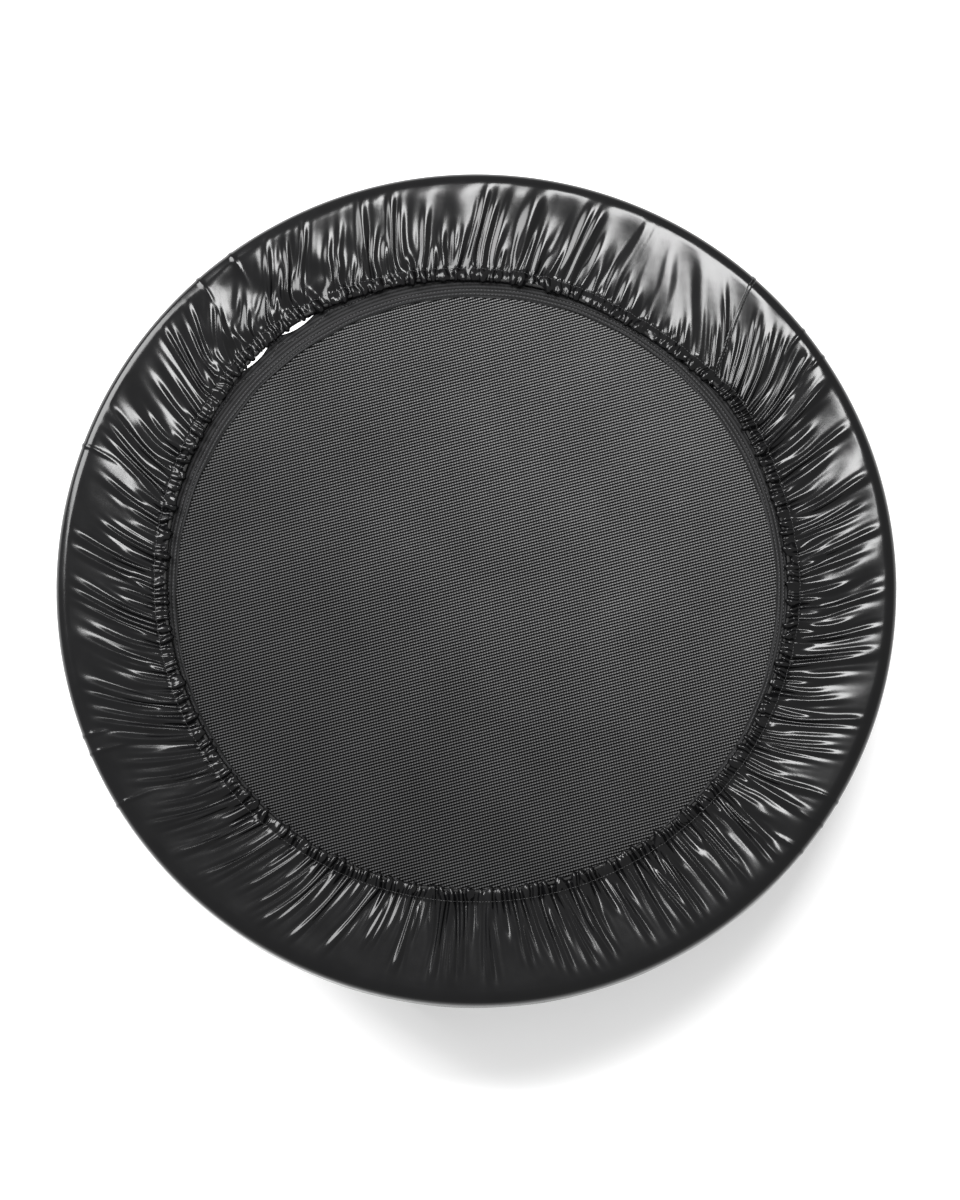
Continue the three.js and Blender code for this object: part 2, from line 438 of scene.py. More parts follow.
# Bright zinc-plated spring wire, with a faint bloom
ZINC = mottled("spring_steel", (0.60, 0.61, 0.63), 0.3, (120, 4), (0.22, 0.46),
               ((0.46, 0.47, 0.50), (0.70, 0.70, 0.69), 0.3, 0.7), (1800, 2, 0.00004, 0.5), metallic=1.0)
# Black powder coat: orange peel, with a few dull scuffs
PAINT = mottled("frame_paint", grey(0.011, 0.012), 0.34, (45, 5), (0.24, 0.52),
                (grey(0.008, 0.009), grey(0.020, 0.021), 0.4, 0.8), (750, 2, 0.00012, 0.5))
RUBBER = rubber_finish()
# Glass-filled nylon with a matt mould texture
NYLON = mottled("plug_plastic", grey(0.02, 0.021), 0.5, (300, 3), (0.38, 0.62), None,
                (1600, 2, 0.00006, 0.5))
ELASTIC = elastic_finish()
# Twisted black polyester thread
THREAD = mottled("thread", grey(0.03, 0.031), 0.55, (2500, 2), None, (grey(0.012), grey(0.06, 0.062)),
                 (1800, 1, 0.0001, 0.5), specular=0.4)


# Cover: one flat strip of vinyl, closed into a ring. Its inner edge is drawn in by the elastic, so that
# the strip's spare length stands up in folds, and the folds use exactly the length that each row has too
# much of.

CASING_LIP = 11.5 * MM  # the sewn-back edge, from the elastic's centre to its end
INNER_LOOP = 3.1 * MM  # from the elastic's centre to the middle of the vinyl
RIM_LOOP = 2.9 * MM
COVER_GAP = 1.0 * MM  # from the tube to the middle of the vinyl
FOLD_EDGE = 0.8  # the creases are this soft, in columns
SEAM_BEARING = 48.1  # where the strip's ends are sewn together

# How far each stretch of folds leans, as (bearing, degrees that its outer end is turned past its inner end)
FOLD_LEAN = (
    (-92, -1), (-80, 3.5), (-65, 2.5), (-50, -1), (-38, -3), (-28, 4.5), (8, 3), (27, 3), (32, 6), (40, 8),
    (48, 15), (57, 8), (65, -1), (80, -3.5), (104, -2.5), (114, -4.5), (126, -6.5), (133, -4), (150, -4.5),
    (159, -6.5), (172, -5), (193, -10), (210, -5.5), (245, -6), (257, -3), (262, 1),
)

# The gathered edge isn't quite round: (bearing, millimetres further out than the elastic's own radius)
GATHER_OFFSET = (
    (0, 0), (20, -3), (42, 1), (55, -8), (63, -10), (75, -6), (90, -4), (108, 3), (123, 10.5), (134, 9.5),
    (145, 3), (180, -3), (230, -4), (270, -6), (320, -4),
)

# Bearings of the few pinched creases that go on over the tube
PINCHES = (33.3, 37.9, 126.7, 132.4, 160.6, 201.7, 204.3, 212.2, 320.0, 324.5, 328.3)
PINCH_HEIGHT = 1.1 * MM
PINCH_WIDTH = 2.2 * MM

# How much the sheet waves between its folds: (bearing, slope)
SLACKNESS = (
    (-75, 0.0), (-40, 0.01), (0, 0.05), (45, 0.08), (70, 0.1), (100, 0.06), (150, 0.08), (190, 0.04),
    (235, 0.01),
)

# How deep the folds are: (bearing, share of the usual)
FOLD_DEPTH = (
    (-90, 0.6), (-50, 0.65), (-20, 1.0), (40, 1.1), (62, 1.5), (85, 1.2), (150, 1.0), (200, 0.9),
    (225, 0.75), (255, 0.6),
)

# How broad the folds are: (bearing, share of the usual)
FOLD_BREADTH = (
    (-90, 0.55), (-45, 0.6), (-15, 0.85), (20, 1.0), (60, 1.0), (100, 0.95), (150, 0.85), (200, 0.7),
    (240, 0.55),
)

# What the free sheet lies on inside the tube: (distance from the middle in metres, height in millimetres)
SPRING_FLOOR = ((0.360, 216.5), (0.385, 216.5), (0.392, 220.8), (0.446, 221.2), (0.456, 190))

FOLD_HEIGHT = 3 * MM
SLACK_WAVES = 18
SLACK_LENGTHS = (0.045, 0.14)  # shortest and longest of the slack waves
RAISED_WAVES = 30  # what has fewer waves than this round the ring doesn't lift the sheet
SLIP_WAVES = 16  # and what has fewer than this doesn't slip round the ring
SHEAR_WAVES = 14  # how finely the sheet's columns follow the folds' lean
STITCH_PITCH = 4.0 * MM
STITCH_RADIUS = 0.35 * MM
STITCH_SHARE = 0.62  # the share of its pitch that a stitch takes up


def cover_section():
    """The sheet's path in (radius, height) from the inner lip to the outer one, in rows, with the distance
    along it and the rows where its parts meet."""
    inner = (GATHER_RADIUS, GATHER_HEIGHT)
    outer = (RIM_RADIUS, RIM_HEIGHT)
    lip = GATHER_RADIUS + CASING_LIP
    path = np.concatenate([
        [(lip, inner[1] - INNER_LOOP)],
        arc(inner, INNER_LOOP, np.linspace(270, 90, 7)),
        [(inner[0] + CASING_LIP / 2, inner[1] + INNER_LOOP + 0.5 * MM)],
        [(lip, inner[1] + INNER_LOOP - 2.0 * MM)],
        arc((RING_RADIUS, RING_HEIGHT), TUBE_RADIUS + COVER_GAP, np.linspace(94, -25, 12)),
        arc(outer, RIM_LOOP, np.linspace(10, -180, 7)),
        [(outer[0] - RIM_LOOP, outer[1] + 4 * MM)],
    ])
    along = np.r_[0, np.cumsum(np.linalg.norm(np.diff(path, axis=0), axis=1))]
    fold, stitch, tube, hem = along[4], along[9], along[10], along[22]
    spacing = (
        (0, along[1], 5.5), (along[1], along[7], 1.9), (along[7], stitch, 2.3), (stitch, tube, 4.2),
        (tube, along[21], 3.4), (along[21], hem, 4.0), (hem, along[-1], 3.4),
    )
    rows = []
    for start, end, step in spacing:
        count = max(1, round((end - start) / (step * MM)))
        rows.extend(np.linspace(start, end, count, endpoint=False))
    rows = np.array(rows + [along[-1]])
    radius = np.interp(rows, along, path[:, 0])
    height = np.interp(rows, along, path[:, 1])
    return rows, radius, height, {"fold": fold, "stitch": stitch, "tube": tube, "hem": hem}


def fold_plan(rng):
    """Where each fold starts along the gathered edge, and what shape it has."""
    near = rng.random(RUFFLES) < 0.55
    gap = np.where(near, rng.uniform(0.5, 0.9, RUFFLES), rng.uniform(1.0, 1.8, RUFFLES))
    gap *= STRIP / gap.sum()
    at = np.cumsum(gap)
    long = np.zeros(RUFFLES, bool)
    k = 0
    while k < RUFFLES:
        long[k] = True
        k += int(rng.choice([1, 1, 2, 3]))
    length = np.where(long, rng.uniform(0.35, 1.2, RUFFLES), rng.uniform(0.08, 0.5, RUFFLES))
    rise = rng.uniform(0.4, 1.0, RUFFLES) * np.where(long, 1.0, 0.75)
    rise *= round_table(FOLD_DEPTH, at / STRIP * 360)
    steep = rng.uniform(1.9, 3.2, RUFFLES) * MM
    shallow = rng.uniform(2.6, 7.0, RUFFLES) * MM * np.where(long, 1.0, 0.7)
    swap = rng.random(RUFFLES) < 0.5
    broad = round_table(FOLD_BREADTH, at / STRIP * 360)
    left = np.where(swap, steep, shallow) * broad
    right = np.where(swap, shallow, steep) * broad
    sway = rng.normal(0, 5 * MM, RUFFLES)
    shape = {"length": length, "rise": rise, "left": left, "right": right, "sway": sway}
    return {"at": at, "join": joins(at, long), **shape}


def joins(at, long):
    """How far the outer end of each short fold runs over towards the nearest long one."""
    apart = wrapped(at[:, None] - at[long][None, :])
    nearest = np.abs(apart).argmin(1)
    toward = -apart[np.arange(RUFFLES), nearest]
    return np.where(long, 0, toward * 0.8)


def wrapped(distance):
    return (distance + STRIP / 2) % STRIP - STRIP / 2


def row_slopes(plan, u, share, lean):
    """The slope of the folds along one row; share is how far out the row is, 1 at the tube."""
    t = max(share, 0.0)
    alive = np.clip(1 - (t / plan["length"]) ** 1.6, 0, 1)
    centre = plan["at"] + (plan["sway"] + lean) * t + plan["join"] * np.clip(t / plan["length"], 0, 1)
    narrow = 0.35 + 0.65 * alive
    grow = 0.75 + 0.5 * min(t / 0.5, 1.0)
    left = plan["left"] * narrow * grow
    right = plan["right"] * narrow * grow
    soft = FOLD_EDGE * STRIP / COLUMNS
    x = wrapped(u[:, None] - centre[None, :])
    rising = np.tanh((x + left) / soft)
    top = np.tanh(x / soft)
    falling = np.tanh((x - right) / soft)
    slope = ((rising - top) / left - (top - falling) / right) * FOLD_HEIGHT
    return (slope * (plan["rise"] * alive)).sum(1)


def tuck_slopes(tucks, u):
    """The slope of the small tucks of the casing, up and down by turns."""
    x = wrapped(u[:, None] - tucks["at"][None, :]) / tucks["width"][None, :]
    return (-x * np.exp(-x * x) * tucks["rise"]).sum(1)


def tuck_plan(rng):
    """Where the casing's small tucks are, and how high or deep each is."""
    gap = rng.uniform(0.5, 1.5, TUCKS)
    gap *= STRIP / gap.sum()
    rise = rng.uniform(0.5, 1.0, TUCKS) * np.where(np.arange(TUCKS) % 2, 1, -1)
    return {"at": np.cumsum(gap), "width": 0.55 * gap, "rise": rise}


def slow_waves(rng, u, share):
    """Broad slack waves of the sheet, which lean as they go out."""
    slope = np.zeros(len(u))
    for _ in range(SLACK_WAVES):
        waves = round(STRIP / rng.uniform(*SLACK_LENGTHS))
        lean = rng.uniform(-0.05, 0.05)
        phase = rng.uniform(0, 2 * math.pi) + share * rng.uniform(-3, 3)
        slope += rng.normal() * np.cos(2 * math.pi * waves * (u + lean * share) / STRIP + phase)
    return slope / math.sqrt(SLACK_WAVES)


def limited(slope, gain):
    """Slopes times the gain, kept below upright."""
    return gain * slope / np.sqrt(1 + (gain * slope) ** 2)


def fitted(slope, wanted):
    """Scales the slopes until the row, laid along them, is as long as wanted for each metre of strip."""
    low, high = 0.0, 6.0
    for _ in range(30):
        middle = (low + high) / 2
        if np.sqrt(1 - limited(slope, middle) ** 2).mean() > wanted:
            low = middle
        else:
            high = middle
    return limited(slope, low)


def high_pass(values, waves):
    """A closed row of values without its broad waves."""
    spectrum = np.fft.rfft(values)
    spectrum[:waves] = 0
    return np.fft.irfft(spectrum, len(values))


def cloth_lean(bearing):
    """Degrees that a straight line across the strip is turned, from its inner end to its outer one."""
    return 3.5 * np.cos(np.radians(bearing)) + 4.5 * np.exp(-(((bearing - 48) / 14) ** 2))


def low_pass(values, waves):
    """A closed row of values with its fine detail faded out."""
    spectrum = np.fft.rfft(values)
    spectrum *= np.exp(-((np.arange(len(spectrum)) / waves) ** 2))
    return np.fft.irfft(spectrum, len(values))


def laid_row(slope, u, length, radius):
    """A row laid along its slopes: how far it lifts, its even turns, and how far it slips round from them."""
    step = np.diff(u, prepend=u[-1] - STRIP) * length / STRIP
    lift = high_pass(np.cumsum(slope * step), RAISED_WAVES)
    run = np.cumsum(np.sqrt(1 - slope * slope) * step) / radius
    run *= 2 * math.pi / run[-1]
    even = 2 * math.pi * u / STRIP
    return lift, even, high_pass(run - even, SLIP_WAVES)


def cover_points():
    """The folded sheet: its points, the flat places of its rows and columns, and each row's length."""
    rng = np.random.default_rng(3)
    rows, radius, height, parts = cover_section()
    plan = fold_plan(rng)
    start = (np.arange(COLUMNS) + 0.5) / COLUMNS * STRIP
    degree = STRIP / 360
    starts = plan["at"] / STRIP * 360
    lean = (round_table(FOLD_LEAN, starts) - cloth_lean(starts)) * degree
    turned_past = round_table(FOLD_LEAN, start / degree) - cloth_lean(start / degree)
    shear = low_pass(turned_past * degree, SHEAR_WAVES)
    tucks = tuck_plan(rng)
    drift = rng.normal(0, 2.2 * MM, (2, TUCKS))
    section = np.stack([radius, height], 1)
    ahead = np.gradient(section, axis=0)
    ahead /= np.linalg.norm(ahead, axis=1)[:, None]
    share = (rows - parts["stitch"]) / (parts["tube"] + 12 * MM - parts["stitch"])
    seed = int(rng.integers(1 << 30))
    points = np.zeros((len(rows), COLUMNS, 3))
    flat = np.zeros((len(rows), COLUMNS))
    lengths = np.zeros(len(rows))
    for j, out in enumerate(share):
        u = start + shear * min(max(out, 0.0), 1.0)
        flat[j] = u
        bearing = u / degree
        settled = ease(out, 0.3, 1.1)
        around = 2 * math.pi * radius[j]
        length = max(STRIP * (1 - settled) + around * settled, around * 1.0005)
        lengths[j] = length
        slack = slow_waves(np.random.default_rng(seed), u, max(out, 0.0))
        slack *= round_table(SLACKNESS, bearing) * float(ease(out, 0.0, 0.3))
        swing = (rows[j] - parts["fold"]) / (parts["stitch"] - parts["fold"]) * 2
        shifted = dict(tucks, at=tucks["at"] + drift[0] * math.sin(swing) + drift[1] * math.cos(swing))
        gathered = 1 - float(ease(out, -0.02, 0.13))
        slope = row_slopes(plan, u, out, lean) + slack
        slope = slope * (1 - 0.85 * gathered) + 2.2 * gathered * tuck_slopes(shifted, u)
        slope = fitted(slope - slope.mean(), around / length)
        slope -= slope.mean()
        lift, even, slip = laid_row(slope, u, length, radius[j])
        angle = even - np.radians(cloth_lean(bearing)) * (1 - float(ease(out, -0.05, 1.0))) + slip
        out_of_level, level = (0, 1) if rows[j] < parts["fold"] else (ahead[j, 1], ahead[j, 0])
        offset = round_table(GATHER_OFFSET, bearing) * MM
        drawn = radius[j] + offset * (1 - float(ease(out, 0.0, 0.75)))
        points[j] = round_path(drawn - out_of_level * lift, angle, height[j] + level * lift)
    return points, rows, flat, parts, lengths


def pull(a, b, rest, stiff=1.0):
    """Half of the move that brings two points back to their distance."""
    apart = b - a
    distance = np.sqrt((apart * apart).sum(2)) + 1e-9
    return (0.5 * stiff * (distance - rest) / distance)[..., None] * apart


def both_sides(values):
    return np.roll(values, 1, axis=1) + np.roll(values, -1, axis=1)


def rest_lengths(rows, flat, lengths, band):
    """Flat lengths between neighbours in a band of rows: round, across, and on both diagonals."""
    scale = (lengths / STRIP)[:, None]
    closed = np.concatenate([flat, flat[:, :1] + STRIP], 1)
    around = np.diff(closed, axis=1) * scale
    down = (np.diff(rows) * 0.99)[band.start:band.stop - 1, None]
    upper, lower = closed[band][:-1], closed[band][1:]
    even = 0.5 * (scale[band][:-1] + scale[band][1:])
    along = np.hypot(down, (lower - upper)[:, :-1] * even)
    onward = np.hypot(down, (lower[:, 1:] - upper[:, :-1]) * even)
    backward = np.hypot(down, (lower[:, :-1] - upper[:, 1:]) * even)
    return around[band], along, onward, backward


def keep_lengths(cloth, around, along, onward, backward):
    """Moves neighbours back towards their distances, in place."""
    fix = pull(cloth[:, 0::2], cloth[:, 1::2], around[:, 0::2])
    cloth[:, 0::2] += fix
    cloth[:, 1::2] -= fix
    fix = pull(cloth[:, 1::2], np.roll(cloth[:, 0::2], -1, axis=1), around[:, 1::2])
    cloth[:, 1::2] += fix
    cloth[:, 0::2] -= np.roll(fix, 1, axis=1)
    for start in (0, 1):
        count = (len(cloth) - start) // 2 * 2
        upper = slice(start, start + count, 2)
        lower = slice(start + 1, start + count, 2)
        fix = pull(cloth[upper], cloth[lower], along[start:start + count - 1:2])
        cloth[upper] += fix
        cloth[lower] -= fix
    beside = np.roll(cloth, -1, axis=1)
    one = pull(cloth[:-1], beside[1:], onward, 0.3)
    other = pull(beside[:-1], cloth[1:], backward, 0.3)
    cloth[:-1] += one + np.roll(other, 1, axis=1)
    cloth[1:] -= np.roll(one, 1, axis=1) + other


def resist_bending(cloth):
    """Straightens the sheet a little, round the ring and across it, in place."""
    bend = (0.5 * both_sides(cloth) - cloth) * 0.25
    cloth += bend * 0.5 - 0.25 * both_sides(bend)
    bend = (0.5 * (cloth[:-2] + cloth[2:]) - cloth[1:-1]) * 0.3
    cloth[1:-1] += bend * 0.5
    cloth[:-2] -= bend * 0.25
    cloth[2:] -= bend * 0.25


def settled_cover(points, rows, flat, parts, lengths, steps):
    """Position-based cloth: the sheet keeps its lengths, resists bending, and rests on the tube and the
    springs, while its casings stay where the elastics hold them. Then its rows and columns are evened."""
    free = (rows > parts["stitch"] + 1e-6) & (rows < parts["hem"])
    first, last = np.where(free)[0][[0, -1]]
    held = points[~free].copy()
    band = slice(first - 1, last + 2)
    rest = rest_lengths(rows, flat, lengths, band)
    before = points.copy()
    for _ in range(steps):
        speed = (points - before) * 0.8
        before = points.copy()
        points = points + speed
        for _ in range(2):
            keep_lengths(points[band], *rest)
            resist_bending(points[band])
        rest_on_frame(points, first, last)
        points[~free] = held
    inner = slice(first, last + 1)
    for _ in range(2):
        beyond = points[first - 1:last] + points[first + 1:last + 2]
        points[inner] = 0.5 * points[inner] + 0.25 * beyond
    points[inner] = 0.5 * points[inner] + 0.25 * both_sides(points[inner])
    rest_on_frame(points, first, last)
    return points


def rest_on_frame(points, first, last):
    """Pushes the sheet out of the tube, and its free rows up off the springs."""
    far = np.hypot(points[..., 0], points[..., 1])
    out = far - RING_RADIUS
    up = points[..., 2] - RING_HEIGHT
    distance = np.hypot(out, up)
    need = TUBE_RADIUS + 0.8 * MM
    push = np.where(distance < need, need / distance, 1.0)
    points[..., 2] = RING_HEIGHT + up * push
    scale = (RING_RADIUS + out * push) / far
    points[..., 0] *= scale
    points[..., 1] *= scale
    stops, heights = np.array(SPRING_FLOOR).T
    floor = np.interp(far, stops, heights * MM)
    inner = slice(first, last + 1)
    points[inner, :, 2] = np.maximum(points[inner, :, 2], floor[inner])


def pinched(points, rows, flat, parts):
    """Raises the pinched creases, from the panel's outer end down to the outer hem."""
    for bearing in PINCHES:
        away = wrapped(flat - bearing / 360 * STRIP) / PINCH_WIDTH
        reach = ease(rows, parts["tube"] - 45 * MM, parts["tube"])
        reach *= 1 - ease(rows, parts["hem"] - 12 * MM, parts["hem"])
        rise = PINCH_HEIGHT * np.exp(-away * away) * reach[:, None]
        far = np.hypot(points[..., 0], points[..., 1])[..., None]
        over_tube = points - points * (RING_RADIUS / far)
        over_tube[..., 2] = np.maximum(points[..., 2] - RING_HEIGHT, 0)
        normal = over_tube / np.linalg.norm(over_tube, axis=-1)[..., None]
        inside = far < RING_RADIUS
        normal = np.where(inside, np.array([0.0, 0.0, 1.0]), normal)
        points = points + normal * rise[..., None]
    return points


def make_cover():
    points, rows, flat, parts, lengths = cover_points()
    points = settled_cover(points, rows, flat, parts, lengths, 16)
    points = pinched(points, rows, flat, parts)
    uv = np.stack([flat, np.repeat(rows[:, None], COLUMNS, 1)], -1)
    faces = grid_faces(len(rows), COLUMNS, flip=True)
    cover = mesh_object("cover_sheet", points, faces, VINYL, uv)
    return placed(cover, "frame", "cover"), (points, rows, flat, parts)


def outward(points, j):
    """Unit normals of row j of a sheet of points, pointing to the glossy side."""
    side = np.roll(points[j], -1, axis=0) - np.roll(points[j], 1, axis=0)
    on = points[min(j + 1, len(points) - 1)] - points[max(j - 1, 0)]
    normal = np.cross(on, side)
    return normal / np.linalg.norm(normal, axis=1)[:, None]


def stitch_row(points, normals):
    """Thread stitches along a closed line of points, as short rounded pieces."""
    line = np.concatenate([points, points[:1]])
    over = np.concatenate([normals, normals[:1]])
    along = np.r_[0, np.cumsum(np.linalg.norm(np.diff(line, axis=0), axis=1))]
    arch = np.array([-0.3, 0.7, 1.0, 0.7, -0.3])[:, None]
    taper = np.array([0.6, 1, 1, 1, 0.6])
    parts = []
    for k in range(int(along[-1] / STITCH_PITCH)):
        at = (k + np.array([0.0, 0.2, 0.5, 0.8, 1.0]) * STITCH_SHARE) * STITCH_PITCH
        centre = read_along(at, along, line) + read_along(at, along, over) * STITCH_RADIUS * arch
        parts.append(tube_along(centre, STITCH_RADIUS * taper, 5))
    return merged(parts)


def seam_stitches(line):
    """A row of stitches down the seam."""
    count = int(len(line) * 4.2 / 4)
    parts = []
    for k in range(count):
        at = (k + np.array([0.1, 0.3, 0.5, 0.7])) * (len(line) - 1) / count
        centre = read_along(at, np.arange(len(line)), line)
        centre[:, 2] += np.array([0.1, 0.5, 0.5, 0.1]) * MM
        parts.append(tube_along(centre, STITCH_RADIUS, 5))
    return parts


def make_cover_trim(points, rows, flat, parts):
    """The lapped seam that closes the strip, and the thread of the gather and the seam."""
    stitch = int(np.abs(rows - parts["stitch"]).argmin())
    hem = int(np.abs(rows - parts["hem"]).argmin())
    across = SEAM_BEARING / 360 * STRIP + np.linspace(-3.0, 3.0, 7) * MM
    lift = np.array([0.1, 0.8, 0.9, 0.9, 0.9, 0.8, 0.1])[:, None] * MM
    strip = []
    for j in range(stitch, hem + 1):
        over = read_along(across, flat[j], outward(points, j))
        strip.append(read_along(across, flat[j], points[j]) + over * lift)
    strip = np.array(strip)
    faces = grid_faces(len(strip), len(across), ring=False, flip=True)
    uv = np.stack(np.meshgrid(across, rows[stitch:hem + 1]), -1)
    seam = mesh_object("cover_seam", strip, faces, VINYL, uv)
    threads = [stitch_row(points[stitch], outward(points, stitch))]
    for side in (1, 5):
        threads.extend(seam_stitches(strip[:, side]))
    thread = mesh_object("cover_thread", *merged(threads), THREAD)
    return [placed(piece, "frame") for piece in (seam, thread)]


def make_elastics():
    turn = np.radians(np.arange(0, 360, 1.0))
    offset = round_table(GATHER_OFFSET, np.degrees(turn)) * MM
    inner = round_path(GATHER_RADIUS + offset, turn, GATHER_HEIGHT)
    outer = round_path(RIM_RADIUS, turn, RIM_HEIGHT)
    sides = 10
    cords = []
    for name, path, radius, node in (
        ("gather_elastic", inner, 1.7 * MM, "inner_elastic"),
        ("rim_elastic", outer, 1.5 * MM, "outer_elastic"),
    ):
        points, faces = tube_along(path, radius, sides, ring=True)
        around, along = np.meshgrid(np.arange(sides) / sides * 2 * math.pi * radius, turn * path[0, 0])
        cord = mesh_object(name, points, faces, ELASTIC, np.stack([along, around], -1))
        cords.append(placed(cord, "frame", node))
    return cords


# Mat and hem. Each is made in wedges, one for each spring, and is then joined into one piece.

HEM_SHIFT = -9 * MM  # the hem is sewn wider on the far side
HEM_INNER = 343 * MM
HEM_HALF = 2.1 * MM  # half the thickness of the folded webbing over the mat
MAT_HALF = 0.7 * MM
MAT_INSET = 6 * MM  # from the hem's outer edge in to the mat's own
WEDGE_STEPS = 12


def spring_angle(index):
    return (index + 0.5) * SPRING_STEP


def wedge_bearings(index):
    return spring_angle(index) + np.linspace(-0.5, 0.5, WEDGE_STEPS + 1) * SPRING_STEP


def hem_bow(degrees):
    """How far the hem's outer edge bows in between two springs: most at the upper left."""
    between_springs = (degrees / SPRING_STEP - 0.5) % 1.0
    arch = 1 - (2 * between_springs - 1) ** 2
    deep = 2.0 + 9.0 * np.exp(-(((degrees - 129) / 13) ** 2))
    return arch * deep * MM


def hem_inner_edge(degrees):
    """Distance from the middle to the hem's inner edge at this bearing."""
    rise = HEM_SHIFT * np.sin(np.radians(degrees))
    waver = 0.5 * MM * np.sin(np.radians(degrees * 32)) + 0.4 * MM * np.sin(np.radians(degrees * 11 + 40))
    return rise + np.sqrt(HEM_INNER ** 2 - (HEM_SHIFT * np.cos(np.radians(degrees))) ** 2) + waver


def make_mat():
    shares = np.concatenate([[0.0], np.linspace(0.02, 1.0, 46)])
    faces = grid_faces(len(shares), WEDGE_STEPS + 1, ring=False)
    wedges = []
    for index in range(SPRINGS):
        degrees = wedge_bearings(index)
        edge = HEM_RADIUS - MAT_INSET - hem_bow(degrees)
        points = round_path(shares[:, None] * edge, np.radians(degrees), MAT_HEIGHT + MAT_HALF)
        wedge = mesh_object(f"mat_wedge_{index + 1:02d}", points, faces, WEAVE, points[..., :2])
        wedges.append(blend_out(wedge))
    mat = joined(wedges, "mat_sheet")
    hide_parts("mat")
    return mat


def hem_section(inner, outer):
    """The folded webbing's outline in (radius, height above the mat's middle)."""
    round_edge = 2.3 * MM
    top = [
        (inner, MAT_HALF + 0.1 * MM),
        (inner + 0.3 * MM, HEM_HALF - 0.3 * MM),
        (inner + 1.2 * MM, HEM_HALF),
    ]
    top += [(inner + (outer - round_edge - inner) * s, HEM_HALF) for s in (0.25, 0.5, 0.75)]
    fold = arc((outer - round_edge, 0.0), (round_edge, HEM_HALF), (90, 55, 20, -20, -55, -90))
    bottom = [(radius, -height) for radius, height in reversed(top)]
    return np.array([*top, *fold, *bottom])


def make_hem():
    wedges = []
    threads = []
    for index in range(SPRINGS):
        middle = spring_angle(index)
        columns = []
        across = []
        for bearing in wedge_bearings(index):
            section = hem_section(float(hem_inner_edge(bearing)), HEM_RADIUS - float(hem_bow(bearing)))
            turn = math.radians(bearing)
            columns.append(round_path(section[:, 0], turn, MAT_HEIGHT + section[:, 1]))
            across.append(np.stack([0 * section[:, 0] + turn * HEM_RADIUS, section[:, 0]], 1))
        points = np.stack(columns, 1)
        faces = grid_faces(len(points), WEDGE_STEPS + 1, ring=False, flip=True)
        wedge = mesh_object(f"hem_wedge_{index + 1:02d}", points, faces, WEBBING, np.stack(across, 1))
        wedges.append(blend_out(wedge))
        thread = mesh_object(f"hem_thread_{index + 1:02d}", *hem_stitches(middle), THREAD)
        threads.append(blend_out(thread))
    hem = joined(wedges, "mat_hem_webbing")
    thread = joined(threads, "mat_hem_thread")
    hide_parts("mat_hem")
    return hem, thread


def hem_stitches(middle):
    """Three rows of stitches on the hem's top and one on its underside, over one wedge."""
    parts = []
    rows = ((4 * MM, 1), (9 * MM, 1), (-11 * MM, 1), (4 * MM, -1))
    for inset, face in rows:
        count = 16
        for k in range(count):
            start = middle + (-0.5 + (k + 0.15) / count) * SPRING_STEP
            degrees = start + np.array([0.0, 0.3, 0.62]) * SPRING_STEP / count
            if inset > 0:
                far = hem_inner_edge(degrees) + inset
            else:
                far = HEM_RADIUS - hem_bow(degrees) + inset
            height = MAT_HEIGHT + face * (HEM_HALF + np.array([-0.15, 0.3, -0.15]) * MM)
            parts.append(tube_along(round_path(far, np.radians(degrees), height), 0.4 * MM, 5))
    return merged(parts)


# Springs: a webbing tab and a V-shaped wire link for each spring, and a close-wound coil with hooks

LINK_BAR = HEM_RADIUS + 2.6 * MM  # the link's bar inside the tab's loop
LINK_TIP = HEM_RADIUS + 22.3 * MM
COIL_END = LINK_TIP + 52 * MM
LINK_WIRE = 1.4 * MM
COIL_WIRE = 1.15 * MM
COIL_MEAN = 5.35 * MM
TAB_HALF_WIDTH = 8.5 * MM
TAB_TOP = HEM_RADIUS - 9 * MM  # where the tab's upper end is sewn down
TAB_INNER = HEM_RADIUS - 24 * MM


def tab():
    """A strip of webbing over the hem, round the link's bar and back under it, along +X."""
    loop = LINK_WIRE + 0.9 * MM
    out = [
        (TAB_TOP, HEM_HALF + 0.5 * MM),
        (HEM_RADIUS - 3 * MM, HEM_HALF + 0.6 * MM),
        (HEM_RADIUS, HEM_HALF + 0.2 * MM),
    ]
    back = [(TAB_INNER, HEM_HALF + 0.5 * MM), *out[1:]]
    bend = arc((LINK_BAR, 0.0), loop, (75, 45, 15, -15, -45, -75))
    middle = np.array([*out, *bend, *[(x, -z) for x, z in reversed(back)]])
    ahead = np.gradient(middle, axis=0)
    ahead /= np.linalg.norm(ahead, axis=1)[:, None]
    normal = np.stack([-ahead[:, 1], ahead[:, 0]], 1) * 0.5 * MM
    outline = np.concatenate([middle + normal, (middle - normal)[::-1]])
    across = np.array([-1, -0.94, 0, 0.94, 1]) * TAB_HALF_WIDTH
    sink = np.array([0.35, 1, 1, 1, 0.35])
    centre = np.concatenate([middle, middle[::-1]])
    layers = []
    for y, s in zip(across, sink):
        ring = centre + (outline - centre) * s
        layers.append(np.stack([ring[:, 0], 0 * ring[:, 0] + y, MAT_HEIGHT + ring[:, 1]], 1))
    points = np.array(layers)
    faces = grid_faces(len(layers), points.shape[1])
    return points.reshape(-1, 3), faces


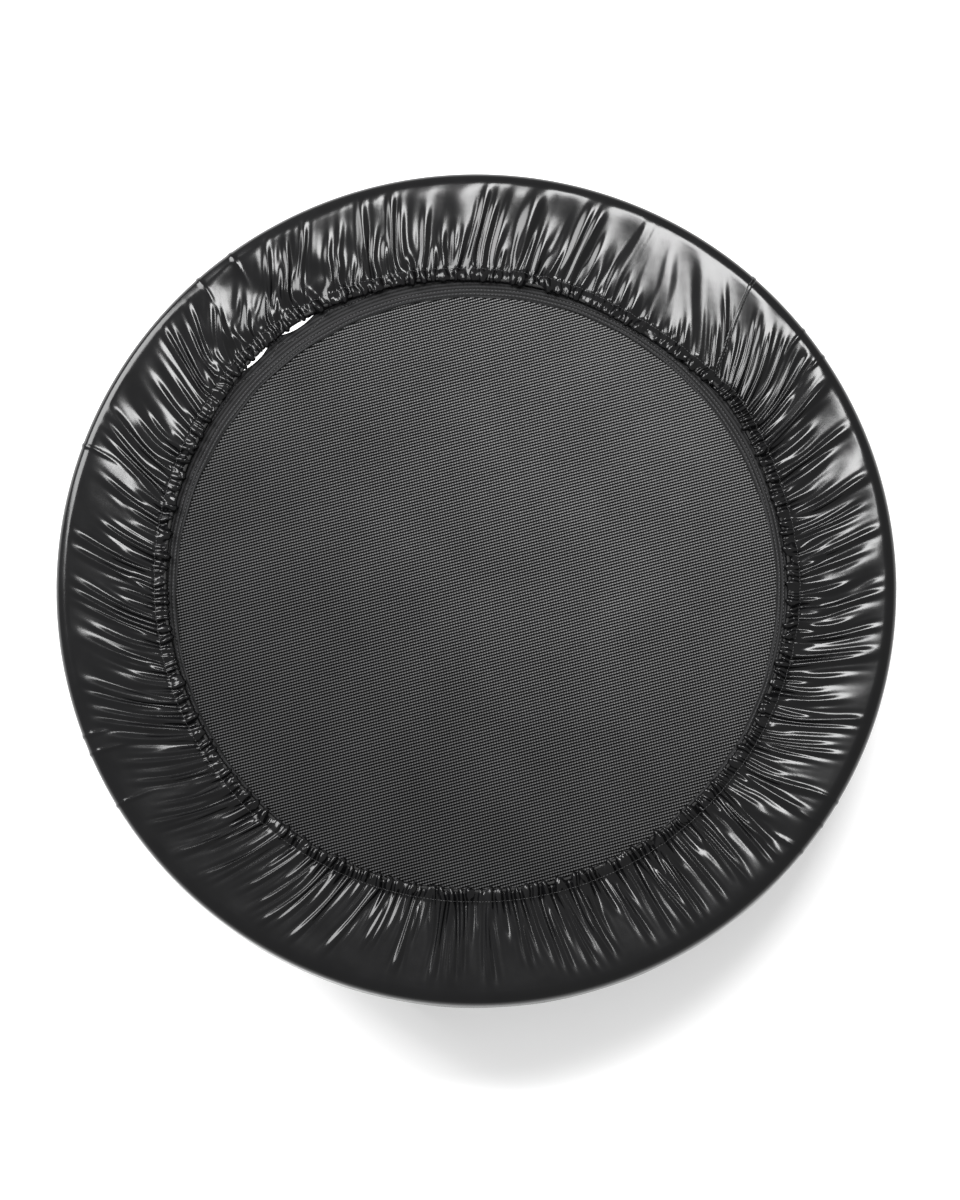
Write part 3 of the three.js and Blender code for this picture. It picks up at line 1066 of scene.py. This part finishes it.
def box_stitch():
    """The crossed square of thread that holds a tab's end, on the underside."""
    near, far = TAB_INNER + 2.5 * MM, TAB_INNER + 15 * MM
    side = TAB_HALF_WIDTH - 2 * MM
    corners = [(near, -side), (near, side), (far, side), (far, -side)]
    lines = [(corners[i], corners[(i + 1) % 4]) for i in range(4)]
    lines += [(corners[0], corners[2]), (corners[1], corners[3])]
    parts = []
    for start, end in lines:
        start, end = np.array(start), np.array(end)
        count = max(3, round(np.linalg.norm(end - start) / (2.8 * MM)))
        for k in range(count):
            share = (k + np.array([0.1, 0.4, 0.75])) / count
            at = start + (end - start) * share[:, None]
            height = MAT_HEIGHT - HEM_HALF - np.array([0.9, 1.25, 0.9]) * MM
            parts.append(tube_along(np.column_stack([at, height]), 0.3 * MM, 5))
    return merged(parts)


def link():
    """The V of wire: a bar in the tab and two arms that meet at the spring's hook, along +X."""
    half = 7 * MM
    corner = 1.8 * MM
    arm = [
        (LINK_TIP - 3 * MM, 1.9 * MM),
        (LINK_BAR + corner, half),
        (LINK_BAR + 0.4 * corner, half - 0.1 * corner),
        (LINK_BAR, half - corner),
    ]
    other = [(x, -y) for x, y in reversed(arm)]
    tip = arc((LINK_TIP - 3 * MM, 0.0), 2.4 * MM, (-60, -20, 20, 60))
    points = np.array([(x, y, MAT_HEIGHT) for x, y in (*arm, (LINK_BAR, 0.0), *other, *tip)])
    return tube_along(points, LINK_WIRE, 8, ring=True)


def coil():
    """A close-wound spring along +X from its hook round the link's tip to its hook inside the tube."""
    steps = 12
    turns = 19
    rise = (RING_HEIGHT - MAT_HEIGHT) / (HOOK_RADIUS - LINK_TIP)
    hook = arc((LINK_TIP + 0.6 * MM, 0.0), 4.0 * MM, np.linspace(250, 20, 9))
    hook = np.insert(hook, 1, 0.0, axis=1)
    count = turns * steps
    share = np.linspace(0, 1, count)
    start = LINK_TIP + 7 * MM
    radius = COIL_MEAN * np.minimum(1, np.minimum(share, 1 - share) * turns / 1.2 + 0.15)
    phase = share * turns * 2 * math.pi + math.pi / 2
    x = start + (COIL_END - 3 * MM - start) * share
    winding = np.stack([x, radius * np.cos(phase), radius * np.sin(phase)], 1)
    end = [
        (COIL_END, 0.0, 0.6 * MM),
        (HOOK_RADIUS, 0.0, 0.0),
        (HOOK_RADIUS + 3 * MM, 0.0, 0.3 * MM),
        (HOOK_RADIUS + 5 * MM, 0.0, 2.5 * MM),
    ]
    path = np.concatenate([hook, winding, end])
    path[:, 2] += MAT_HEIGHT + (path[:, 0] - LINK_TIP) * rise
    return tube_along(path, COIL_WIRE, 6)


def make_springs():
    tabs = []
    threads = []
    one_tab, one_stitch, one_link, one_coil = tab(), box_stitch(), link(), coil()
    for index in range(SPRINGS):
        degrees = spring_angle(index)

        def blended(name, part, coat, uv=None):
            piece = mesh_object(f"{name}_{index + 1:02d}", *turned(part, degrees), coat, uv)
            return blend_out(piece)

        tabs.append(blended("tab", one_tab, WEBBING, one_tab[0][:, :2]))
        threads.append(blended("tab_thread", one_stitch, THREAD))
        blended("spring_link", one_link, ZINC)
        wound = blended("spring_coil", one_coil, ZINC)
        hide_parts(f"spring_{index + 1:02d}")
    joined(tabs, "spring_tabs")
    joined(threads, "spring_tab_thread")


# Frame: the welded ring with its bosses and studs, and the rims of its hook holes

BOSS_RADIUS = 8.5 * MM
STUD_RADIUS = 5 * MM
LEG_TOP = 187 * MM
STUD_LENGTH = 22 * MM
THREAD_PITCH = 1.5 * MM


def weld_bead():
    """A rippled bead where the boss meets the underside of the tube, about the boss's axis."""
    turn = np.radians(np.arange(0, 360, 2.5))
    reach = BOSS_RADIUS + 0.4 * MM
    drop = np.sqrt(TUBE_RADIUS ** 2 - (reach * np.cos(turn)) ** 2)
    ripple = 1.5 + 0.28 * np.abs(np.sin(turn * 19))
    return tube_along(round_path(reach, turn, RING_HEIGHT - drop), ripple * MM, 8, ring=True)


def hole_lip():
    """The rim of a spring's hole in the tube's inner wall, along +X."""
    circle = np.radians(np.arange(0, 360, 24))
    side = 2.6 * MM * np.cos(circle)
    height = RING_HEIGHT + 2.6 * MM * np.sin(circle)
    path = np.stack([0 * circle + HOOK_RADIUS - 0.1 * MM, side, height], 1)
    return tube_along(path, 0.6 * MM, 6, ring=True)


def stud():
    """A threaded stud hanging from the boss."""
    segments = 20
    heights = np.arange(LEG_TOP + 2 * MM, LEG_TOP - STUD_LENGTH, -THREAD_PITCH / 6)
    turn = np.arange(segments) * 2 * math.pi / segments
    phase = (heights[:, None] / THREAD_PITCH + turn[None, :] / (2 * math.pi)) % 1.0
    radius = STUD_RADIUS - 0.9 * MM * (1 - np.abs(2 * phase - 1))
    radius[-1] = STUD_RADIUS - 1.6 * MM
    points = round_path(radius, turn, heights[:, None])
    faces = grid_faces(len(heights), segments, flip=True)
    faces.append(list(range((len(heights) - 1) * segments, len(heights) * segments)))
    return points.reshape(-1, 3), faces


def boss():
    top = RING_HEIGHT - TUBE_RADIUS / 2
    return lathe([
        (STUD_RADIUS - 1 * MM, LEG_TOP), (BOSS_RADIUS - 0.8 * MM, LEG_TOP),
        (BOSS_RADIUS, LEG_TOP + 0.8 * MM), (BOSS_RADIUS, top),
    ], 40)


def leg_angle(index):
    low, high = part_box(f"leg_tube_{index + 1}")
    return math.degrees(math.atan2((low.y + high.y) / 2, (low.x + high.x) / 2))


def make_frame():
    steps = 288
    turn = np.arange(steps) * 2 * math.pi / steps
    parts = [tube_along(round_path(RING_RADIUS, turn, RING_HEIGHT), TUBE_RADIUS, 28, ring=True)]
    beads = []
    studs = []
    for index in range(LEGS):
        degrees = leg_angle(index)
        at = polar(RING_RADIUS, degrees, 0)
        parts.append(moved(boss(), at))
        beads.append(moved(turned(weld_bead(), degrees), at))
        studs.append(moved(stud(), at))
    lips = [turned(hole_lip(), spring_angle(index)) for index in range(SPRINGS)]
    ring = placed(mesh_object("ring_tube", *merged(parts), PAINT), "frame", "frame_ring")
    for name, extra, coat, slot in (
        ("ring_weld_beads", beads, PAINT, "frame_paint"),
        ("ring_hole_lips", lips, PAINT, "frame_paint"),
        ("ring_studs", studs, ZINC, "spring_steel"),
    ):
        placed(mesh_object(name, *merged(extra), coat), "frame")
    return ring


# Legs: tube, bored plug and ribbed rubber foot

LEG_RADIUS = 12.5 * MM
FOOT_RADIUS = 16 * MM
FOOT_HEIGHT = 34 * MM
FOOT_SOLE = 6 * MM
GAP = 0.3 * MM


def leg_tube():
    top = LEG_TOP - GAP - 3 * MM - GAP
    bottom = FOOT_SOLE + GAP
    inner = LEG_RADIUS - 1.2 * MM
    return lathe([
        (inner, top - 4 * MM), (inner, top - 0.3 * MM), (inner + 0.3 * MM, top), (LEG_RADIUS - 0.4 * MM, top),
        (LEG_RADIUS, top - 0.4 * MM), (LEG_RADIUS, bottom), (inner, bottom), (inner, bottom + 4 * MM),
    ][::-1])


def leg_plug():
    """The plug's rim between the boss and the tube, with its bored body inside the tube."""
    top = LEG_TOP - GAP
    shoulder = top - 3 * MM
    body = LEG_RADIUS - 1.5 * MM
    bottom = LEG_TOP - STUD_LENGTH - 4 * MM
    bore = STUD_RADIUS + GAP
    return lathe([
        (bore, bottom), (body - 0.5 * MM, bottom), (body, bottom + 1 * MM), (body, shoulder),
        (LEG_RADIUS - 0.5 * MM, shoulder), (LEG_RADIUS, shoulder + 0.5 * MM), (LEG_RADIUS, top - 0.6 * MM),
        (LEG_RADIUS - 0.6 * MM, top), (bore, top), (bore, bottom),
    ])


def leg_foot():
    """A rubber cup with a sole, ribs round its skirt and a rolled mouth."""
    bore = LEG_RADIUS + GAP
    mouth = bore + 2 * MM
    edge = 1.5 * MM
    profile = [
        (0.0, 0.0), (5 * MM, 0.0), (5.6 * MM, 0.8 * MM), (7.4 * MM, 0.8 * MM), (8 * MM, 0.0),
        (FOOT_RADIUS - edge, 0.0), *arc((FOOT_RADIUS - edge, edge), edge, (-60, -30, 0)),
    ]
    for rib in range(5):
        low = FOOT_SOLE + 2 * MM + rib * 4.2 * MM
        slope = (low - FOOT_SOLE) / (FOOT_HEIGHT - FOOT_SOLE)
        radius = FOOT_RADIUS + (mouth - FOOT_RADIUS) * slope
        profile += [
            (radius, low), (radius - 0.2 * MM, low + 0.5 * MM), (radius - 0.9 * MM, low + 0.8 * MM),
            (radius - 0.9 * MM, low + 1.8 * MM), (radius - 0.3 * MM, low + 2.2 * MM),
        ]
    profile += [
        (mouth, FOOT_HEIGHT - 3 * MM), (mouth + 0.2 * MM, FOOT_HEIGHT - 1.5 * MM),
        (mouth - 0.5 * MM, FOOT_HEIGHT), (bore + 0.4 * MM, FOOT_HEIGHT),
        (bore, FOOT_HEIGHT - 0.5 * MM), (bore, FOOT_SOLE), (0.0, FOOT_SOLE),
    ]
    return lathe(profile)


def make_legs():
    tube, plug, foot = leg_tube(), leg_plug(), leg_foot()
    for index in range(LEGS):
        at = polar(RING_RADIUS, leg_angle(index), 0)
        for name, part, coat, node, slot in (
            ("leg_post", tube, PAINT, "leg_tube", "frame_paint"),
            ("leg_insert", plug, NYLON, "leg_plug", "plug_plastic"),
            ("leg_boot", foot, RUBBER, "leg_foot", "foot_rubber"),
        ):
            piece = mesh_object(f"{name}_{index + 1}", *moved(part, at), coat)
            placed(piece, f"leg_{index + 1}", f"{node}_{index + 1}")


# Stage, lights and camera

FLOOR_HALF = 5  # half the side of the ground
FLOOR_STEPS = 24
FLOOR_HEIGHT = -0.5 * MM  # just under the feet
SKY_STRENGTH = 0.8
SOFTBOXES = (  # name, place, size, watts
    ("key_softbox", (0.36, 0.86, 2.8), (0.78, 0.56), 66),
    ("back_softbox", (-1.75, 1.15, 1.7), (1.2, 1.7), 150),
)
CAMERA_ELEVATION = 82.3
CAMERA_DISTANCE = 3.2
CAMERA_LENS = 84.0
CAMERA_SENSOR = 36
CAMERA_AIM = (0.0043, -0.0208, RING_HEIGHT)


def area_light(name, place, size, power):
    """A rectangular lamp that faces the middle of the ring."""
    light = bpy.data.lights.new(name, "AREA")
    light.shape = "RECTANGLE"
    light.size, light.size_y = size
    light.energy = power
    lamp = bpy.data.objects.new(name, light)
    bpy.context.scene.collection.objects.link(lamp)
    lamp.location = place
    facing = Vector((0, 0, RING_HEIGHT)) - Vector(place)
    lamp.rotation_euler = facing.to_track_quat("-Z", "Y").to_euler()


def make_stage():
    side = np.linspace(-FLOOR_HALF, FLOOR_HALF, FLOOR_STEPS + 1)
    x, y = np.meshgrid(side, side)
    points = np.stack([x, y, 0 * x + FLOOR_HEIGHT], -1)
    faces = grid_faces(FLOOR_STEPS + 1, FLOOR_STEPS + 1, ring=False)
    floor = mesh_object("floor", points, faces, floor_finish())
    world = bpy.data.worlds.new("studio")
    bpy.context.scene.world = world
    world.use_nodes = True
    background = world.node_tree.nodes["Background"]
    background.inputs["Color"].default_value = (1.0, 1.0, 1.0, 1)
    background.inputs["Strength"].default_value = SKY_STRENGTH
    for name, place, size, power in SOFTBOXES:
        area_light(name, place, size, power)


def make_camera():
    elevation = math.radians(CAMERA_ELEVATION)
    camera = bpy.data.cameras.new("camera")
    camera.lens = CAMERA_LENS
    camera.sensor_width = CAMERA_SENSOR
    holder = bpy.data.objects.new("camera", camera)
    bpy.context.scene.collection.objects.link(holder)
    back = Vector((0, -math.cos(elevation), math.sin(elevation)))
    holder.location = Vector(CAMERA_AIM) + back * CAMERA_DISTANCE
    holder.rotation_euler = (-back).to_track_quat("-Z", "Y").to_euler()
    bpy.context.scene.camera = holder
    bpy.context.scene.view_settings.view_transform = "Standard"


cover, sheet = make_cover()
trim = make_cover_trim(*sheet)
elastics = make_elastics()
mat = make_mat()
hem, hem_thread = make_hem()
make_springs()
ring = make_frame()
make_legs()
make_stage()
make_camera()
